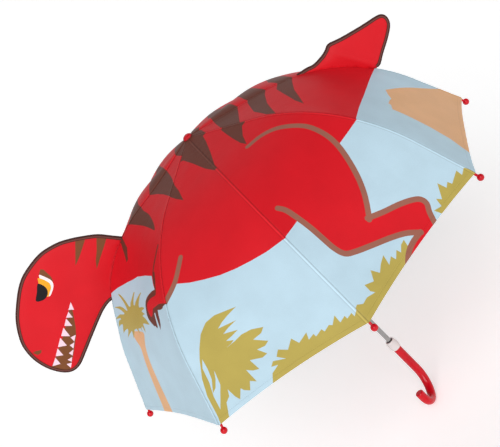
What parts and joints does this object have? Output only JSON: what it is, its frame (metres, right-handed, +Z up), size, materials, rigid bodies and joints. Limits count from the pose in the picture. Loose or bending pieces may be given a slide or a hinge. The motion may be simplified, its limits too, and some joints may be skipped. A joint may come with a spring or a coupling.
{
  "type": "children's umbrella",
  "caption": "Child's stick umbrella with a printed domed canopy, a sewn animal head and tail, sprung ribs, a sliding runner and a hooked handle.",
  "frame": {"origin": "on the shaft's axis at the middle of the handle's straight grip", "axes": "+Z up the shaft to the ferrule, -X towards the head, +X towards the tail, hook towards -Y"},
  "size_m": [0.7618, 0.7082, 0.6235],
  "materials": {
    "chromed_shaft": "polished chrome plate",
    "bright_steel": "drawn wire",
    "steel_rib": "black lacquer",
    "sprung_rod": "black lacquer",
    "black_plastic": "moulded",
    "red_plastic": "glossy moulded",
    "white_plastic": "moulded",
    "printed_fabric": "printed woven polyester",
    "padded_fabric": "printed woven polyester over thin wadding"
  },
  "bodies": {
    "shaft": {"shaft_tube": "chromed_shaft", "crown": "black_plastic", "crown_wire": "bright_steel", "ferrule_cap": "red_plastic", "handle": "red_plastic", "handle_pin": "bright_steel", "collar": "white_plastic"},
    "runner": {"runner": "black_plastic", "runner_wire": "bright_steel"},
    "upper_catch": {"upper_catch": "bright_steel"},
    "lower_catch": {"lower_catch": "bright_steel"},
    "rib_1": {"rib_channel_1": "steel_rib", "canopy_panel_1": "printed_fabric"},
    "rib_1_rod": {"rib_rod_1": "sprung_rod", "rib_tip_1": "red_plastic", "tail": "padded_fabric"},
    "stretcher_1": {"stretcher_1": "steel_rib"},
    "rib_2": {"rib_channel_2": "steel_rib", "canopy_panel_2": "printed_fabric"},
    "rib_2_rod": {"rib_rod_2": "sprung_rod", "rib_tip_2": "red_plastic"},
    "stretcher_2": {"stretcher_2": "steel_rib"},
    "rib_3": {"rib_channel_3": "steel_rib", "canopy_panel_3": "printed_fabric"},
    "rib_3_rod": {"rib_rod_3": "sprung_rod", "rib_tip_3": "red_plastic"},
    "stretcher_3": {"stretcher_3": "steel_rib"},
    "rib_4": {"rib_channel_4": "steel_rib", "canopy_panel_4": "printed_fabric"},
    "rib_4_rod": {"rib_rod_4": "sprung_rod", "rib_tip_4": "red_plastic"},
    "stretcher_4": {"stretcher_4": "steel_rib"},
    "rib_5": {"rib_channel_5": "steel_rib", "canopy_panel_5": "printed_fabric"},
    "rib_5_rod": {"rib_rod_5": "sprung_rod", "rib_tip_5": "red_plastic", "head": "padded_fabric"},
    "stretcher_5": {"stretcher_5": "steel_rib"},
    "rib_6": {"rib_channel_6": "steel_rib", "canopy_panel_6": "printed_fabric"},
    "rib_6_rod": {"rib_rod_6": "sprung_rod", "rib_tip_6": "red_plastic"},
    "stretcher_6": {"stretcher_6": "steel_rib"},
    "rib_7": {"rib_channel_7": "steel_rib", "canopy_panel_7": "printed_fabric"},
    "rib_7_rod": {"rib_rod_7": "sprung_rod", "rib_tip_7": "red_plastic"},
    "stretcher_7": {"stretcher_7": "steel_rib"},
    "rib_8": {"rib_channel_8": "steel_rib", "canopy_panel_8": "printed_fabric"},
    "rib_8_rod": {"rib_rod_8": "sprung_rod", "rib_tip_8": "red_plastic"},
    "stretcher_8": {"stretcher_8": "steel_rib"}
  },
  "joints": [
    {"name": "open_close", "type": "hinge", "parent": "shaft", "child": "rib_1", "pos_m": [0.007, 0, 0.51079], "axis": [0, 1, 0], "range_deg": [0, 70], "deforming": ["canopy_panel_1", "canopy_panel_2", "canopy_panel_3", "canopy_panel_4", "canopy_panel_5", "canopy_panel_6", "canopy_panel_7", "canopy_panel_8", "upper_catch", "lower_catch"]},
    {"name": "stretcher_1_swing", "type": "hinge", "parent": "rib_1", "child": "stretcher_1", "pos_m": [0.1653, 0, 0.46711], "axis": [0, 1, 0], "range_deg": [-140, 0]},
    {"name": "rib_1_flex", "type": "hinge", "parent": "rib_1", "child": "rib_1_rod", "pos_m": [0.1778, 0, 0.46587], "axis": [0, 1, 0], "range_deg": [-30.76, 0]},
    {"name": "rib_2_fold", "type": "hinge", "parent": "shaft", "child": "rib_2", "pos_m": [0.00495, 0.00495, 0.51079], "axis": [-0.7071, 0.7071, 0], "range_deg": [0, 70]},
    {"name": "stretcher_2_swing", "type": "hinge", "parent": "rib_2", "child": "stretcher_2", "pos_m": [0.11689, 0.11689, 0.46711], "axis": [-0.7071, 0.7071, 0], "range_deg": [-140, 0]},
    {"name": "rib_2_flex", "type": "hinge", "parent": "rib_2", "child": "rib_2_rod", "pos_m": [0.12573, 0.12573, 0.46587], "axis": [-0.7071, 0.7071, 0], "range_deg": [-30.76, 0]},
    {"name": "rib_3_fold", "type": "hinge", "parent": "shaft", "child": "rib_3", "pos_m": [0, 0.007, 0.51079], "axis": [-1, 0, 0], "range_deg": [0, 70]},
    {"name": "stretcher_3_swing", "type": "hinge", "parent": "rib_3", "child": "stretcher_3", "pos_m": [0, 0.1653, 0.46711], "axis": [-1, 0, 0], "range_deg": [-140, 0]},
    {"name": "rib_3_flex", "type": "hinge", "parent": "rib_3", "child": "rib_3_rod", "pos_m": [0, 0.1778, 0.46587], "axis": [-1, 0, 0], "range_deg": [-30.76, 0]},
    {"name": "rib_4_fold", "type": "hinge", "parent": "shaft", "child": "rib_4", "pos_m": [-0.00495, 0.00495, 0.51079], "axis": [-0.7071, -0.7071, 0], "range_deg": [0, 70]},
    {"name": "stretcher_4_swing", "type": "hinge", "parent": "rib_4", "child": "stretcher_4", "pos_m": [-0.11689, 0.11689, 0.46711], "axis": [-0.7071, -0.7071, 0], "range_deg": [-140, 0]},
    {"name": "rib_4_flex", "type": "hinge", "parent": "rib_4", "child": "rib_4_rod", "pos_m": [-0.12573, 0.12573, 0.46587], "axis": [-0.7071, -0.7071, 0], "range_deg": [-30.76, 0]},
    {"name": "rib_5_fold", "type": "hinge", "parent": "shaft", "child": "rib_5", "pos_m": [-0.007, 0, 0.51079], "axis": [0, -1, 0], "range_deg": [0, 70]},
    {"name": "stretcher_5_swing", "type": "hinge", "parent": "rib_5", "child": "stretcher_5", "pos_m": [-0.1653, 0, 0.46711], "axis": [0, -1, 0], "range_deg": [-140, 0]},
    {"name": "rib_5_flex", "type": "hinge", "parent": "rib_5", "child": "rib_5_rod", "pos_m": [-0.1778, 0, 0.46587], "axis": [0, -1, 0], "range_deg": [-30.76, 0]},
    {"name": "rib_6_fold", "type": "hinge", "parent": "shaft", "child": "rib_6", "pos_m": [-0.00495, -0.00495, 0.51079], "axis": [0.7071, -0.7071, 0], "range_deg": [0, 70]},
    {"name": "stretcher_6_swing", "type": "hinge", "parent": "rib_6", "child": "stretcher_6", "pos_m": [-0.11689, -0.11689, 0.46711], "axis": [0.7071, -0.7071, 0], "range_deg": [-140, 0]},
    {"name": "rib_6_flex", "type": "hinge", "parent": "rib_6", "child": "rib_6_rod", "pos_m": [-0.12573, -0.12573, 0.46587], "axis": [0.7071, -0.7071, 0], "range_deg": [-30.76, 0]},
    {"name": "rib_7_fold", "type": "hinge", "parent": "shaft", "child": "rib_7", "pos_m": [0, -0.007, 0.51079], "axis": [1, 0, 0], "range_deg": [0, 70]},
    {"name": "stretcher_7_swing", "type": "hinge", "parent": "rib_7", "child": "stretcher_7", "pos_m": [0, -0.1653, 0.46711], "axis": [1, 0, 0], "range_deg": [-140, 0]},
    {"name": "rib_7_flex", "type": "hinge", "parent": "rib_7", "child": "rib_7_rod", "pos_m": [0, -0.1778, 0.46587], "axis": [1, 0, 0], "range_deg": [-30.76, 0]},
    {"name": "rib_8_fold", "type": "hinge", "parent": "shaft", "child": "rib_8", "pos_m": [0.00495, -0.00495, 0.51079], "axis": [0.7071, 0.7071, 0], "range_deg": [0, 70]},
    {"name": "stretcher_8_swing", "type": "hinge", "parent": "rib_8", "child": "stretcher_8", "pos_m": [0.11689, -0.11689, 0.46711], "axis": [0.7071, 0.7071, 0], "range_deg": [-140, 0]},
    {"name": "rib_8_flex", "type": "hinge", "parent": "rib_8", "child": "rib_8_rod", "pos_m": [0.12573, -0.12573, 0.46587], "axis": [0.7071, 0.7071, 0], "range_deg": [-30.76, 0]},
    {"name": "runner_hang", "type": "hinge", "parent": "stretcher_1", "child": "runner", "pos_m": [0.007, 0, 0.42343], "axis": [0, 1, 0], "range_deg": [0, 70]},
    {"name": "upper_catch_press", "type": "slide", "parent": "shaft", "child": "upper_catch", "axis": [0, -1, 0], "range_m": [0, 0.0024], "stiffness_N_per_m": 400},
    {"name": "lower_catch_press", "type": "slide", "parent": "shaft", "child": "lower_catch", "axis": [0, -1, 0], "range_m": [0, 0.0024], "stiffness_N_per_m": 400}
  ],
  "couplings": [
    {"joint": "stretcher_1_swing", "follows": "open_close", "ratio": -2},
    {"joint": "rib_1_flex", "follows": "open_close", "ratio": -0.4393},
    {"joint": "rib_2_fold", "follows": "open_close", "ratio": 1},
    {"joint": "stretcher_2_swing", "follows": "open_close", "ratio": -2},
    {"joint": "rib_2_flex", "follows": "open_close", "ratio": -0.4393},
    {"joint": "rib_3_fold", "follows": "open_close", "ratio": 1},
    {"joint": "stretcher_3_swing", "follows": "open_close", "ratio": -2},
    {"joint": "rib_3_flex", "follows": "open_close", "ratio": -0.4393},
    {"joint": "rib_4_fold", "follows": "open_close", "ratio": 1},
    {"joint": "stretcher_4_swing", "follows": "open_close", "ratio": -2},
    {"joint": "rib_4_flex", "follows": "open_close", "ratio": -0.4393},
    {"joint": "rib_5_fold", "follows": "open_close", "ratio": 1},
    {"joint": "stretcher_5_swing", "follows": "open_close", "ratio": -2},
    {"joint": "rib_5_flex", "follows": "open_close", "ratio": -0.4393},
    {"joint": "rib_6_fold", "follows": "open_close", "ratio": 1},
    {"joint": "stretcher_6_swing", "follows": "open_close", "ratio": -2},
    {"joint": "rib_6_flex", "follows": "open_close", "ratio": -0.4393},
    {"joint": "rib_7_fold", "follows": "open_close", "ratio": 1},
    {"joint": "stretcher_7_swing", "follows": "open_close", "ratio": -2},
    {"joint": "rib_7_flex", "follows": "open_close", "ratio": -0.4393},
    {"joint": "rib_8_fold", "follows": "open_close", "ratio": 1},
    {"joint": "stretcher_8_swing", "follows": "open_close", "ratio": -2},
    {"joint": "rib_8_flex", "follows": "open_close", "ratio": -0.4393},
    {"joint": "runner_hang", "follows": "open_close", "ratio": 1}
  ]
}
